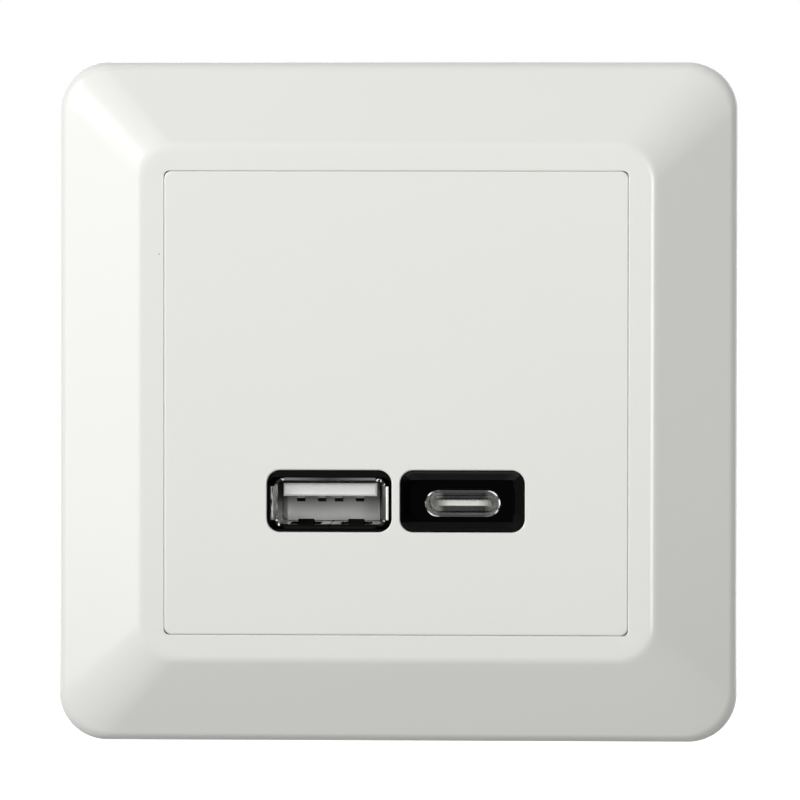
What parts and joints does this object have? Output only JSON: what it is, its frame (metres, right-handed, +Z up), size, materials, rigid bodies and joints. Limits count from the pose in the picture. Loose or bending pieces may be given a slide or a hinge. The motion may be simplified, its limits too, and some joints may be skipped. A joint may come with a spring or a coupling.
{
  "type": "usb wall socket",
  "caption": "Square flush wall socket with a sloping white cover frame, a flat centre plate and USB-A and USB-C charging ports, on a steel support ring with a rear housing.",
  "frame": {"origin": "centre of the box-screw pattern, on the wall plane (the back of the support ring and of the cover frame's rim)", "axes": "+Z up the wall, +Y into the wall, so the plate faces -Y; +X to the right as seen from the room"},
  "size_m": [0.081, 0.042, 0.081],
  "materials": {
    "white_trim": "satin white moulded plastic",
    "black_housing": "fine matte black",
    "dark_housing": "matte dark grey moulding",
    "zinc_steel": "zinc-plated sheet",
    "screw_steel": "zinc-plated",
    "port_steel": "nickel-plated sheet",
    "port_white": "moulded white",
    "slim_tongue": "moulded light grey",
    "contact_dark": "dark-toned plating",
    "board_green": "solder-masked laminate",
    "pin_tin": "tinned",
    "ferrite": "sintered ferrite",
    "bobbin_plastic": "moulded",
    "winding_tape": "taped winding",
    "can_sleeve": "printed sleeve left blank",
    "film_yellow": "moulded case",
    "disc_blue": "epoxy coat",
    "copper_wire": "enamelled wire",
    "chip_black": "moulded package",
    "terminal_grey": "moulded grey",
    "busbar_brass": "tinned brass",
    "spring_steel": "spring strip",
    "button_orange": "moulded orange"
  },
  "bodies": {
    "socket": {"cover_frame": "white_trim", "centre_plate": "white_trim", "support_ring": "zinc_steel", "front_housing": "black_housing", "rear_housing": "dark_housing", "housing_screws": "screw_steel", "usb_a_shell": "port_steel", "usb_a_insulator": "port_white", "usb_a_contacts": "contact_dark", "usb_c_shell": "port_steel", "usb_c_insulator": "slim_tongue", "usb_c_contacts": "contact_dark", "usb_board": "board_green", "power_board": "board_green", "board_link_pins": "pin_tin", "transformer_core": "ferrite", "transformer_bobbin": "bobbin_plastic", "transformer_winding": "winding_tape", "bulk_capacitors": "can_sleeve", "output_capacitors": "can_sleeve", "film_capacitor": "film_yellow", "safety_capacitor": "disc_blue", "choke_core": "ferrite", "choke_winding": "copper_wire", "fuse": "chip_black", "varistor": "disc_blue", "bridge_rectifier": "chip_black", "optocoupler": "chip_black", "switching_controller": "chip_black", "power_inductors": "ferrite", "charge_controllers": "chip_black", "terminal_block": "terminal_grey", "line_busbar": "busbar_brass", "neutral_busbar": "busbar_brass", "line_spring": "spring_steel", "neutral_spring": "spring_steel"},
    "line_button": {"line_button": "button_orange"},
    "neutral_button": {"neutral_button": "button_orange"}
  },
  "joints": [
    {"name": "line_release", "type": "slide", "parent": "socket", "child": "line_button", "axis": [0, -1, 0], "range_m": [0, 0.0015], "stiffness_N_per_m": 800, "deforming": ["line_spring"]},
    {"name": "neutral_release", "type": "slide", "parent": "socket", "child": "neutral_button", "axis": [0, -1, 0], "range_m": [0, 0.0015], "stiffness_N_per_m": 800, "deforming": ["neutral_spring"]}
  ]
}
